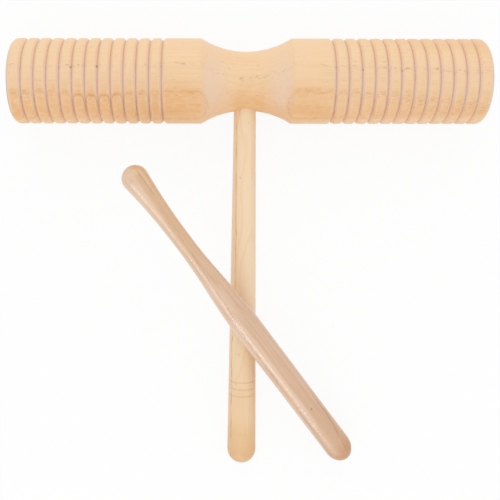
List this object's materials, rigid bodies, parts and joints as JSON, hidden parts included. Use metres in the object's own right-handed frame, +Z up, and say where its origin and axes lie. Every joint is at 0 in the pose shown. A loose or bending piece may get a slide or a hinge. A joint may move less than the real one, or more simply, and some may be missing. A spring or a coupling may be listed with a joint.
{
  "type": "guiro",
  "caption": "Ribbed wooden tone block on a dowel handle, with its turned beater resting across the handle.",
  "frame": {"origin": "on the floor, under the middle of the whole object's box", "axes": "+X along the ribbed block to its right end, +Z up, the handle runs towards -Y"},
  "size_m": [0.2, 0.1861, 0.0464],
  "materials": {
    "block_wood": "bare fine-grained pale wood, sanded, satin",
    "handle_wood": "bare cream dowel with a wavy brown grain line, satin",
    "beater_wood": "pinkish tan turned wood, waxed, soft gloss"
  },
  "bodies": {
    "root": {"scraper_block": "block_wood", "handle": "handle_wood", "beater": "beater_wood"}
  },
  "joints": []
}
